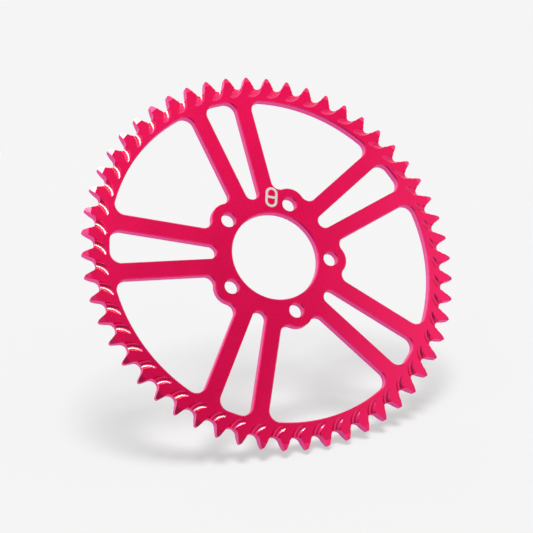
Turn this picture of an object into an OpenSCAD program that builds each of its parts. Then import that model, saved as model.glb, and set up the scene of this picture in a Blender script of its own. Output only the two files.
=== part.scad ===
// Rear sprocket: a one-piece aluminium chain wheel for a small motorcycle.
// Frame: the origin is the centre of the bore at mid thickness, so the wheel turns about Y.
// The outer face looks toward -Y, the hub face toward +Y, and +Z is up with a bolt hole at the top.
// Every outline is drawn in XY with the outer face toward +z, then stood up by the last rotation.

/* [Chain and teeth] */
// Chain pitch, 12.7 for a 420 chain
pitch = 12.7; // [12.7:3.175:15.875]
// Number of teeth
teeth = 54; // [50:1:60]
// Diameter of the chain roller that sits in each gap
roller_d = 7.77; // [7.5:0.01:8.6]
// Angle of a tooth flank, measured from the centreline of the gap
flank_ang = 24; // [22:0.5:26]
// Tooth tip diameter less the pitch diameter
tip_gain = 6.96; // [6:0.01:7.2]
// Radial length of the bevel on each side of a tooth tip
tip_bevel_len = 3.4; // [1:0.1:4]
// Depth of that bevel at the tip
tip_bevel_depth = 1.1; // [0.4:0.1:1.8]

/* [Plate] */
// Plate thickness
thick = 5.4; // [4.6:0.1:6]
// Width of the 45 degree edge break on the bore, holes and openings
edge_break = 0.6; // [0.2:0.1:0.8]
// Width of the rim between the tooth roots and the openings
rim_w = 8; // [7:0.1:10]

/* [Hub mount] */
// Diameter of the centre bore
bore_d = 52.5; // [48:0.1:54]
// Number of hub bolts, and of spoke pairs
bolts = 5; // [5:1:5]
// Diameter of the bolt circle
bolt_circle_d = 68; // [66:0.5:72]
// Diameter of each bolt hole
bolt_hole_d = 8.5; // [6.5:0.1:9]
// Radius of the lobe round each bolt hole
lobe_r = 10; // [9:0.1:11]

/* [Spokes] */
// Width of each spoke
spoke_w = 9.65; // [8:0.05:11]
// Half angle of the slot between the two spokes of a pair
slot_half_ang = 6; // [5:0.25:7]
// Distance from the centre to the round inner end of a slot
slot_start = 35.7; // [34.5:0.1:40]
// Corner radius where a spoke meets the rim
rim_corner_r = 6.2; // [4:0.1:7]
// Corner radius where a spoke meets a lobe
lobe_corner_r = 5; // [4:0.1:6]

/* [Mud grooves] */
// Radius of the round cutter that scoops a groove
groove_tool_r = 2.6; // [2:0.1:3]
// Depth of the groove where it opens into the tooth gap
groove_depth = 1.9; // [0.8:0.1:2.2]
// Radius of the curved path of the groove
groove_path_r = 8.2; // [7.5:0.1:9]

/* [Etched mark] */
// Length of the etched oval
mark_l = 12.4; // [8:0.1:13]
// Width of the etched oval
mark_w = 7.4; // [5:0.1:8]
// Width of the etched line
mark_line = 1.5; // [0.8:0.1:1.8]
// Depth of the etching
mark_depth = 0.2; // [0.1:0.05:0.3]

/* [Hidden] */
$fa = 2;
$fs = 0.4;
half = thick / 2;                                // from the middle plane to either face
over = 0.5;                                      // how far every cutter runs past a face
blend = 0.02;                                    // how far a round runs past its tangent line
reach = 150;                                     // longer than any outline, for wedges and strips
pitch_r = pitch / (2 * sin(180 / teeth));
tip_r = pitch_r + tip_gain / 2;
seat_r = 1.01 * roller_d / 2;                    // radius of the gap bottom, a little over the roller
tooth_step = 360 / teeth;
bolt_step = 360 / bolts;
bolt_r = bolt_circle_d / 2;
first_bolt_ang = 90;                             // the top bolt hole
first_tooth_ang = first_bolt_ang + 2 * bolt_step; // a tooth stands straight outside this hole

// tooth flank: leaves the gap bottom at this point and stays straight up to the tip rounding
flank_x = pitch_r - seat_r * sin(flank_ang);
flank_y = seat_r * cos(flank_ang) - blend;
lean = flank_ang - tooth_step / 2;               // flank angle from the centreline of the tooth
tip_half = tip_r * tan(tooth_step / 2) - flank_y - (tip_r - flank_x) * tan(flank_ang);
tip_round = tip_half * cos(lean) / (1 - sin(lean));
tip_round_x = tip_r - tip_round;                 // centre of the rounding on each tip
body_r = tip_round_x + tip_round * sin(lean);    // where the rounding meets the flanks

// openings: the long edges of a slot pass through the centre, and each spoke is a parallel bar
rim_r = pitch_r - seat_r - rim_w;
window_half_ang = bolt_step / 2 - slot_half_ang;
window_apex = spoke_w / sin(window_half_ang);    // where the two edges of a window would meet
slot_end_x = slot_start / (1 - sin(slot_half_ang));
slot_end_r = slot_end_x - slot_start;

// groove: an arc in the face, tipped so that the cutter climbs out of the plate at its inner end
groove_ang = [190, 251, 285];                    // run-out, gap bottom, open end in the gap
groove_mid = (groove_ang[0] + groove_ang[1]) / 2;
groove_chord = 2 * groove_path_r * sin((groove_ang[1] - groove_ang[0]) / 2);
groove_tilt = asin(groove_depth / groove_chord);
groove_x = pitch_r - seat_r + 2.8;               // centre of the path, along the gap
groove_y = groove_path_r - 0.2;                  // and to the counterclockwise side

mark_pos = [-11.6, 33.9];                        // beside the top bolt hole
mark_turn = 12;

// ---------- cutters and fillers ----------

// disc as deep as the plate whose rims flare outward at 45 degrees, for cutting a broken edge
module flared_disc(r)
    rotate_extrude()
        polygon([[0, -half - over], [r + edge_break + over, -half - over], [r, -half + edge_break],
                 [r, half - edge_break], [r + edge_break + over, half + over], [0, half + over]]);

// disc whose rims draw in at 45 degrees, for leaving a round boss with a broken edge
module drawn_disc(r)
    rotate_extrude()
        polygon([[0, -half - over], [r - edge_break - over, -half - over], [r, -half + edge_break],
                 [r, half - edge_break], [r - edge_break - over, half + over], [0, half + over]]);

// everything on the left of a line through the origin along +x, flared like the discs
module flared_side()
    rotate([90, 0, 90])
        translate([0, 0, -reach])
            linear_extrude(2 * reach)
                polygon([[-edge_break - over, -half - over], [reach, -half - over], [reach, half + over],
                         [-edge_break - over, half + over], [0, half - edge_break], [0, -half + edge_break]]);

// sector between two edges that leave [apex, 0] at plus and minus ang
module flared_sector(apex, ang)
    intersection() {
        translate([apex, 0]) rotate(-ang) flared_side();
        translate([apex, 0]) mirror([0, 1, 0]) rotate(-ang) flared_side();
    }

module full_depth()
    translate([0, 0, -half - over]) linear_extrude(thick + 2 * over) children();

// distance along x and y of a circle of radius r that touches the rim circle and a sector edge
function corner_ang(apex, ang, r) = ang - asin((r + apex * sin(ang)) / (rim_r - r));
function corner_at(apex, ang, r) =
    (rim_r - r) * [cos(corner_ang(apex, ang, r)), sin(corner_ang(apex, ang, r))];

// metal left in the outer corner of an opening, outside the corner radius
module rim_corner(apex, ang) {
    c = corner_at(apex, ang, rim_corner_r);
    out = c / norm(c);
    side = [-sin(ang), cos(ang)];
    m = 3 * rim_corner_r;
    difference() {
        full_depth() polygon([c, c + m * out, c + 2 * m * (out + side), c + m * side]);
        translate(c) flared_disc(rim_corner_r + blend);
    }
}

// an opening without its inner end: sector, rim circle and the two rounded outer corners
module opening(apex, ang)
    difference() {
        intersection() {
            flared_sector(apex, ang);
            flared_disc(rim_r);
        }
        rim_corner(apex, ang);
        mirror([0, 1, 0]) rim_corner(apex, ang);
    }

// big opening over a bolt hole, its inner end shaped by the lobe and two rounded corners
module window() {
    spare = (bolt_r - window_apex) * sin(window_half_ang) - lobe_corner_r;
    turn = window_half_ang + asin(spare / (lobe_r + lobe_corner_r));
    c = [bolt_r, 0] + (lobe_r + lobe_corner_r) * [cos(turn), -sin(turn)];
    far = c + 4 * lobe_corner_r * [-sin(window_half_ang), -cos(window_half_ang)];
    difference() {
        opening(window_apex, window_half_ang);
        difference() {
            full_depth()
                polygon([c, far, [0, -reach / 4], [0, reach / 4], [far[0], -far[1]], [c[0], -c[1]],
                         [bolt_r, 0]]);
            for (s = [-1, 1]) translate([c[0], s * c[1]]) flared_disc(lobe_corner_r + blend);
        }
        translate([bolt_r, 0]) drawn_disc(lobe_r);
    }
}

// narrow opening between the two spokes of a pair, with a full round inner end
module slot() {
    m = 4 * slot_end_r;
    c = [slot_end_x, 0];
    far = c + m * [-sin(slot_half_ang), cos(slot_half_ang)];
    difference() {
        opening(0, slot_half_ang);
        difference() {
            full_depth() polygon([c, far, [-reach / 8, m], [-reach / 8, -m], [far[0], -far[1]]]);
            translate(c) flared_disc(slot_end_r + blend);
        }
    }
}

// outline of one tooth gap, centred on +x
module gap_2d() {
    mouth_x = tip_r + 1;
    mouth_y = flank_y + (mouth_x - flank_x) * tan(flank_ang);
    union() {
        translate([pitch_r, 0]) circle(seat_r);
        polygon([[flank_x, -flank_y], [flank_x, flank_y], [mouth_x, mouth_y], [mouth_x, -mouth_y]]);
    }
}

// scooped mud groove on the outer face, from the gap bottom inward and counterclockwise
module groove()
    translate([groove_x, groove_y, half + groove_tool_r - groove_depth / 2])
        rotate(a = groove_tilt, v = [cos(groove_mid - 180), sin(groove_mid - 180), 0])
            rotate(groove_ang[0])
                rotate_extrude(angle = groove_ang[2] - groove_ang[0])
                    translate([groove_path_r, 0]) circle(groove_tool_r);

// outline of the etched mark: an oval ring with a bar across its middle
module mark_2d() {
    difference() {
        oval_2d(mark_w, mark_l);
        oval_2d(mark_w - 2 * mark_line, mark_l - 2 * mark_line);
    }
    square([mark_w - mark_line, mark_line], center = true);
}

module oval_2d(w, l)
    union() {
        square([w, l - w], center = true);
        for (s = [-1, 1]) translate([0, s * (l - w) / 2]) circle(w / 2);
    }

module mark_place()
    translate([mark_pos[0], mark_pos[1], half - mark_depth]) rotate(mark_turn) children();

// ---------- plate ----------

module toothed_disc()
    intersection() {
        translate([0, 0, -half])
            linear_extrude(thick)
                difference() {
                    union() {
                        circle(body_r);
                        for (i = [0:teeth - 1])
                            rotate(first_tooth_ang + i * tooth_step)
                                translate([tip_round_x - blend, 0]) circle(tip_round + blend);
                    }
                    for (i = [0:teeth - 1]) rotate(first_tooth_ang + (i + 0.5) * tooth_step) gap_2d();
                }
        rotate_extrude()
            polygon([[0, -half], [tip_r - tip_bevel_len, -half], [tip_r + 1, -half + bevel_at(1)],
                     [tip_r + 1, half - bevel_at(1)], [tip_r - tip_bevel_len, half], [0, half]]);
    }

// depth of the tip bevel at a distance past the tip
function bevel_at(d) = tip_bevel_depth * (tip_bevel_len + d) / tip_bevel_len;

module plate()
    difference() {
        toothed_disc();
        flared_disc(bore_d / 2);
        for (i = [0:bolts - 1])
            rotate(first_bolt_ang + i * bolt_step) {
                translate([bolt_r, 0]) flared_disc(bolt_hole_d / 2);
                window();
                rotate(bolt_step / 2) slot();
            }
        for (i = [0:teeth - 1]) rotate(first_tooth_ang + (i + 0.5) * tooth_step) groove();
        mark_place() linear_extrude(mark_depth + over) mark_2d();
    }

// ---------- nodes ----------

module sprocket_plate()
    color([0.82, 0.06, 0.30])
        rotate([90, 0, 0]) plate();

module etched_mark()
    color([0.80, 0.82, 0.80])
        rotate([90, 0, 0]) mark_place() linear_extrude(mark_depth) mark_2d();

sprocket_plate();
etched_mark();
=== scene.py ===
"""Looks of the rear sprocket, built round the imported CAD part: satin anodised alloy with an etched mark,
a pale floor, soft studio light, and a camera at the photograph's viewing angle."""

import math

import bpy
from mathutils import Matrix, Vector


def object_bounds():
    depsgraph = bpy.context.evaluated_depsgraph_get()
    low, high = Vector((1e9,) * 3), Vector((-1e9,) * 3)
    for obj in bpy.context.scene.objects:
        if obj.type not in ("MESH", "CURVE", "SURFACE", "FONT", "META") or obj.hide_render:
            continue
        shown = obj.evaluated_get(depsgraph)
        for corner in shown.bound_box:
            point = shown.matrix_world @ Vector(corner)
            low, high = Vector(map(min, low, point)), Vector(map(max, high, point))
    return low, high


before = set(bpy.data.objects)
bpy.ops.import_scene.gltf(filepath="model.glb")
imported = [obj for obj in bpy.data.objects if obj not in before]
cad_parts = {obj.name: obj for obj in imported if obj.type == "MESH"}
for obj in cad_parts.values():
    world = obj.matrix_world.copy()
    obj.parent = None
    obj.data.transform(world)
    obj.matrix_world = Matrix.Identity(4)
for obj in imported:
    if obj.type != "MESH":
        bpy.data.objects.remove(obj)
cad_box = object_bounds()

MM = 0.001
TIP_R = (cad_box[1].x - cad_box[0].x) / 2
HALF_THICK = cad_box[1].y

# camera: the point it looks at, how far away it is, its azimuth, elevation and roll in degrees, and its lens
LOOK_AT = Vector((-3.08 * MM, 0.0, -7.45 * MM))
DISTANCE = 765.6 * MM
AZIMUTH, ELEVATION, ROLL = -13.96, -23.54, 14.93
LENS, SENSOR = 90.21, 36.0


def camera_axes():
    """The camera's right, up and back directions in the row frame."""
    a, e, r = (math.radians(x) for x in (AZIMUTH, ELEVATION, ROLL))
    back = Vector((math.sin(a) * math.cos(e), -math.cos(a) * math.cos(e), math.sin(e)))
    level = Vector((0, 0, 1)).cross(back).normalized()
    upright = back.cross(level)
    right = math.cos(r) * level + math.sin(r) * upright
    return right, back.cross(right), back


RIGHT, UP, BACK = camera_axes()


def studio(x, y, z):
    """A direction given as the photographer sees it: x right, y up, z towards the camera."""
    return (x * RIGHT + y * UP + z * BACK).normalized()


# overhead softbox, which lights the plate alone: distance and sides in metres. It is short of red, because
# the red metal gives back nearly all the red it gets, so its highlights on the machined cuts come out white.
KEY_FROM = studio(-0.08, 0.85, 0.52)
KEY_DISTANCE, KEY_WIDTH, KEY_HEIGHT = 1.0, 0.56, 0.48
KEY_WATTS, KEY_TINT = 32, (0.10, 1.35, 0.22)

# floor: how steeply the camera looks down on it, half its side in metres, its grey, and its own glow
FLOOR_PITCH = math.radians(22)
FLOOR_UP = studio(0, math.cos(FLOOR_PITCH), math.sin(FLOOR_PITCH))
FLOOR_HALF, FLOOR_GREY, FLOOR_GLOW = 0.4, 0.12, 0.508

# sun, which lights the floor alone from straight above, and is wide for a soft shadow
SUN_STRENGTH, SUN_ANGLE = 7.4, math.radians(24)

# the radiance that the backdrop and the lit floor have alike
PAPER = 0.913

# the room as reflections see it: its level, and the changes to it. Each change is a direction, where along
# it the change starts and ends, and how much it comes to.
ROOM_LEVEL = 0.78
ROOM_CHANGES = [
    (studio(-0.18, -0.12, 0.975), 0.58, 0.94, -0.44),   # dim in front
    (studio(0.22, 0.22, 0.95), 0.92, 0.995, -0.08),     # a little dimmer round the camera
    (studio(1, 0, 0), 0.55, 0.74, 0.50),                # bright on the right
    (studio(1, 0, 0), 0.76, 0.90, -0.35),               # less so at the far right
    (studio(-0.45, 0.85, 0.1), 0.27, 0.38, 0.38),       # bright at the top left
    (studio(0.575, 0.48, 0.66), 0.975, 1.0, -0.15),     # a dim patch that the hub reflects
]

# linear tints of the anodised metal: the faces with their deeper dye and a painted light that pales them
# towards the right, cuts, walls and rubbed edges
FACE = (0.81, 0.0080, 0.091)
FACE_DEEP = (0.66, 0.0046, 0.070)
FACE_PAINTED_LIGHT = (0.80, 0.0200, 0.116)
CUT = (0.78, 0.007, 0.118)
WALL = (0.87, 0.100, 0.39)
BARE = (0.84, 0.30, 0.42)

# noise on the anodised metal: its sizes, the share of the first three in the tone, the relief of the grain,
# and how much of a rubbed edge shows bare
GRAIN, MOTTLE, CLOUD, RUB = 0.35 * MM, 1.3 * MM, 22 * MM, 3 * MM
GRAIN_SHARE, MOTTLE_SHARE, CLOUD_SHARE = 0.3, 0.4, 0.3
GRAIN_BUMP = 0.12
RUB_SHARE = 0.2

# where the plate's regions end: the depth under a flat face, how far a surface faces along the axle on walls
# and on the 45 degree edge breaks, and how far to the right the painted light grows to its full, as a share
# of the tip radius
FACE_SKIN = 0.03 * MM, 0.06 * MM
WALL_FACING = 0.10, 0.20
BREAK_RISE, BREAK_FALL = (0.60, 0.68), (0.80, 0.72)
PAINTED_LIGHT_REACH = 1.1

# roughness of faces and cuts, what grain and walls add to it, and the clear gloss on the cuts
FACE_ROUGH, CUT_ROUGH, GRAIN_ROUGH, WALL_ROUGH = 0.18, 0.22, 0.05, 0.36
CUT_GLOSS, GLOSS_ROUGH, GLOSS_IOR = 0.45, 0.1, 1.5

# the etched mark: its two greys, the size of its frosting, the range of its roughness, and its relief
ETCH_DARK, ETCH_LIGHT = (0.61, 0.62, 0.56), (0.85, 0.85, 0.79)
FROST = 0.25 * MM
ETCH_ROUGH = 0.5, 0.7
FROST_BUMP = 0.25

BUMP_DEPTH = 0.05 * MM


class Tree:
    """Short calls for building a shader's nodes."""

    def __init__(self, tree):
        self.tree = tree
        tree.nodes.clear()

    def node(self, kind, *links, **settings):
        """A node with its links, its inputs given as in_Name, and its other settings."""
        made = self.tree.nodes.new("ShaderNode" + kind)
        for key, value in settings.items():
            if key.startswith("in_"):
                made.inputs[key[3:].replace("_", " ")].default_value = value
            else:
                setattr(made, key, value)
        for socket, source in links:
            self.tree.links.new(source, made.inputs[socket])
        return made

    def feed(self, made, socket, value):
        """A socket set to a number or a colour, or linked to another node's output."""
        if isinstance(value, tuple):
            made.inputs[socket].default_value = (*value, 1)
        elif isinstance(value, (int, float)):
            made.inputs[socket].default_value = value
        else:
            self.tree.links.new(value, made.inputs[socket])

    def math(self, operation, a, b=None):
        """A calculation on one or two values."""
        made = self.node("Math", operation=operation)
        self.feed(made, 0, a)
        if b is not None:
            self.feed(made, 1, b)
        return made.outputs[0]

    def add(self, a, b):
        return self.math("ADD", a, b)

    def times(self, a, b):
        return self.math("MULTIPLY", a, b)

    def ramp(self, value, low, high, to_low=0.0, to_high=1.0):
        """value stretched smoothly from low..high to to_low..to_high."""
        made = self.node("MapRange", (0, value), interpolation_type="SMOOTHSTEP")
        for i, number in enumerate((low, high, to_low, to_high)):
            made.inputs[i + 1].default_value = number
        return made.outputs[0]

    def along(self, vector, direction):
        """How far a vector runs along a fixed direction."""
        made = self.node("VectorMath", (0, vector), operation="DOT_PRODUCT")
        made.inputs[1].default_value = direction
        return made.outputs["Value"]

    def noise(self, where, size, detail=2.0, rough=0.5):
        """Noise whose blobs are about size metres across."""
        made = self.node("TexNoise", ("Vector", where), in_Scale=1 / size,
                         in_Detail=detail, in_Roughness=rough)
        return made.outputs["Fac"]

    def mix(self, factor, a, b):
        """Colour a where factor is 0, and b where it is 1."""
        made = self.node("Mix", ("Factor", factor), data_type="RGBA")
        self.feed(made, 6, a)
        self.feed(made, 7, b)
        return made.outputs[2]

    def metal(self, colour, rough, bump, *links, **settings):
        """The finished surface of a metal."""
        shader = self.node("BsdfPrincipled", ("Base Color", colour), ("Roughness", rough),
                           ("Normal", bump.outputs[0]), *links, **settings)
        self.node("OutputMaterial", ("Surface", shader.outputs[0]))


def new_material(name):
    material = bpy.data.materials.new(name)
    material.use_nodes = True
    return material, Tree(material.node_tree)


def satin_anodising():
    """Pink-red anodising: satin faces, glossier cuts, paler walls, edge breaks rubbed a little, and a
    painted light that makes the faces paler towards the right.
    """
    material, t = new_material("satin_anodising")
    coords = t.node("TexCoord").outputs
    where = coords["Object"]
    spot = t.node("SeparateXYZ", (0, where)).outputs
    normal = t.node("SeparateXYZ", (0, coords["Normal"])).outputs

    # masks: the two flat faces, the walls square to them, and the sloping edge breaks
    depth = t.math("SUBTRACT", HALF_THICK, t.math("ABSOLUTE", spot["Y"]))
    on_face = t.ramp(depth, *FACE_SKIN, 1, 0)
    facing = t.math("ABSOLUTE", normal["Y"])
    on_wall = t.ramp(facing, *WALL_FACING, 1, 0)
    on_break = t.times(t.ramp(facing, *BREAK_RISE), t.ramp(facing, *BREAK_FALL))

    grain = t.noise(where, GRAIN, 3.0, 0.6)
    mottle = t.noise(where, MOTTLE, 2.0, 0.6)
    cloud = t.noise(where, CLOUD)
    rub = t.ramp(t.noise(where, RUB, 4.0, 0.7), 0.55, 0.75)
    tone = t.add(t.times(grain, GRAIN_SHARE), t.times(mottle, MOTTLE_SHARE))
    tone = t.add(tone, t.times(cloud, CLOUD_SHARE))

    colour = t.mix(t.ramp(tone, 0.3, 0.7), FACE_DEEP, FACE)
    # painted light: the faces turn paler towards the right, as if more light fell there
    colour = t.mix(t.ramp(spot["X"], 0, PAINTED_LIGHT_REACH * TIP_R), colour, FACE_PAINTED_LIGHT)
    colour = t.mix(on_face, CUT, colour)
    colour = t.mix(on_wall, colour, WALL)
    colour = t.mix(t.times(t.times(on_break, rub), RUB_SHARE), colour, BARE)

    rough = t.add(t.ramp(on_face, 0, 1, CUT_ROUGH, FACE_ROUGH), t.times(grain, GRAIN_ROUGH))
    rough = t.add(rough, t.times(on_wall, WALL_ROUGH))
    gloss = t.times(t.ramp(on_face, 0, 1, CUT_GLOSS, 0), t.ramp(on_wall, 0, 1, 1, 0))
    bump = t.node("Bump", ("Height", grain), ("Strength", t.times(on_face, GRAIN_BUMP)),
                  in_Distance=BUMP_DEPTH)
    t.metal(colour, rough, bump, ("Coat Weight", gloss),
            in_Metallic=1.0, in_Coat_Roughness=GLOSS_ROUGH, in_Coat_IOR=GLOSS_IOR)
    return material


def laser_etch():
    """The laser-etched mark: pale frosted metal."""
    material, t = new_material("laser_etch")
    frost = t.noise(t.node("TexCoord").outputs["Object"], FROST, 4.0, 0.7)
    colour = t.mix(frost, ETCH_DARK, ETCH_LIGHT)
    rough = t.ramp(frost, 0.2, 0.8, *ETCH_ROUGH)
    bump = t.node("Bump", ("Height", frost), in_Strength=FROST_BUMP, in_Distance=BUMP_DEPTH)
    t.metal(colour, rough, bump, in_Metallic=0.4)
    return material


def paint(node, material):
    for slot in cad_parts[node].material_slots:
        slot.material = material


def aim(name, data, towards, spot=(0, 0, 0)):
    """An object made from data, whose own Z axis points towards a direction."""
    made = bpy.data.objects.new(name, data)
    bpy.context.scene.collection.objects.link(made)
    made.location = spot
    made.rotation_mode = "QUATERNION"
    made.rotation_quaternion = towards.to_track_quat("Z", "Y")
    return made


def light_only(light, node):
    """That light falls on that object alone."""
    group = bpy.data.collections.new("lit_by_" + light.name)
    group.objects.link(node)
    light.light_linking.receiver_collection = group


def add_camera():
    data = bpy.data.cameras.new("camera")
    data.lens, data.sensor_width = LENS, SENSOR
    data.clip_start, data.clip_end = 0.01, 20
    cam = bpy.data.objects.new("camera", data)
    bpy.context.scene.collection.objects.link(cam)
    axes = Matrix((RIGHT, UP, BACK)).transposed()
    cam.matrix_world = Matrix.Translation(LOOK_AT + DISTANCE * BACK) @ axes.to_4x4()
    bpy.context.scene.camera = cam


def add_key():
    """The softbox, which faces the middle of the plate."""
    data = bpy.data.lights.new("key", "AREA")
    data.shape = "RECTANGLE"
    data.size, data.size_y = KEY_WIDTH, KEY_HEIGHT
    data.energy, data.color = KEY_WATTS, KEY_TINT
    return aim("key", data, KEY_FROM, KEY_FROM * KEY_DISTANCE)


def add_sun():
    data = bpy.data.lights.new("sun", "SUN")
    data.energy, data.angle = SUN_STRENGTH, SUN_ANGLE
    return aim("sun", data, FLOOR_UP)


def add_world():
    """A pale room: a plain backdrop for the camera, and a brighter and dimmer one for reflections."""
    world = bpy.data.worlds.new("studio")
    bpy.context.scene.world = world
    world.use_nodes = True
    t = Tree(world.node_tree)
    where = t.node("TexCoord").outputs["Generated"]
    level = ROOM_LEVEL
    for direction, start, end, change in ROOM_CHANGES:
        level = t.add(t.ramp(t.along(where, direction), start, end, 0, change), level)
    room = t.node("Background", ("Strength", level), in_Color=(1, 1, 1, 1))
    plain = t.node("Background", in_Color=(1, 1, 1, 1), in_Strength=PAPER)
    seen = t.node("LightPath").outputs["Is Camera Ray"]
    both = t.node("MixShader", (0, seen), (1, room.outputs[0]), (2, plain.outputs[0]))
    t.node("OutputWorld", ("Surface", both.outputs[0]))


def paper():
    """Matt pale paper with a glow of its own, clear from below."""
    material, t = new_material("paper")
    top = t.node("BsdfPrincipled", in_Base_Color=(FLOOR_GREY, FLOOR_GREY, FLOOR_GREY, 1), in_Roughness=0.9,
                 in_Specular_IOR_Level=0.0, in_Emission_Color=(1, 1, 1, 1), in_Emission_Strength=FLOOR_GLOW)
    below = t.node("NewGeometry").outputs["Backfacing"]
    clear = t.node("BsdfTransparent")
    both = t.node("MixShader", (0, below), (1, top.outputs[0]), (2, clear.outputs[0]))
    t.node("OutputMaterial", ("Surface", both.outputs[0]))
    return material


def add_floor():
    """A pale floor under the lowest teeth, level as the photographer sees it."""
    axle = Vector((0, 1, 0))
    slope = FLOOR_UP.dot(axle)
    drop = TIP_R * (FLOOR_UP - slope * axle).length + HALF_THICK * abs(slope)
    mesh = bpy.data.meshes.new("floor")
    corners = [(x * FLOOR_HALF, y * FLOOR_HALF, 0) for x, y in ((-1, -1), (1, -1), (1, 1), (-1, 1))]
    mesh.from_pydata(corners, [], [(0, 1, 2, 3)])
    mesh.materials.append(paper())
    floor = aim("floor", mesh, FLOOR_UP, -drop * FLOOR_UP)
    return floor


bpy.context.scene.view_settings.view_transform = "Standard"
add_camera()
add_world()
light_only(add_key(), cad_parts["sprocket_plate"])
light_only(add_sun(), add_floor())
paint("sprocket_plate", satin_anodising())
paint("etched_mark", laser_etch())
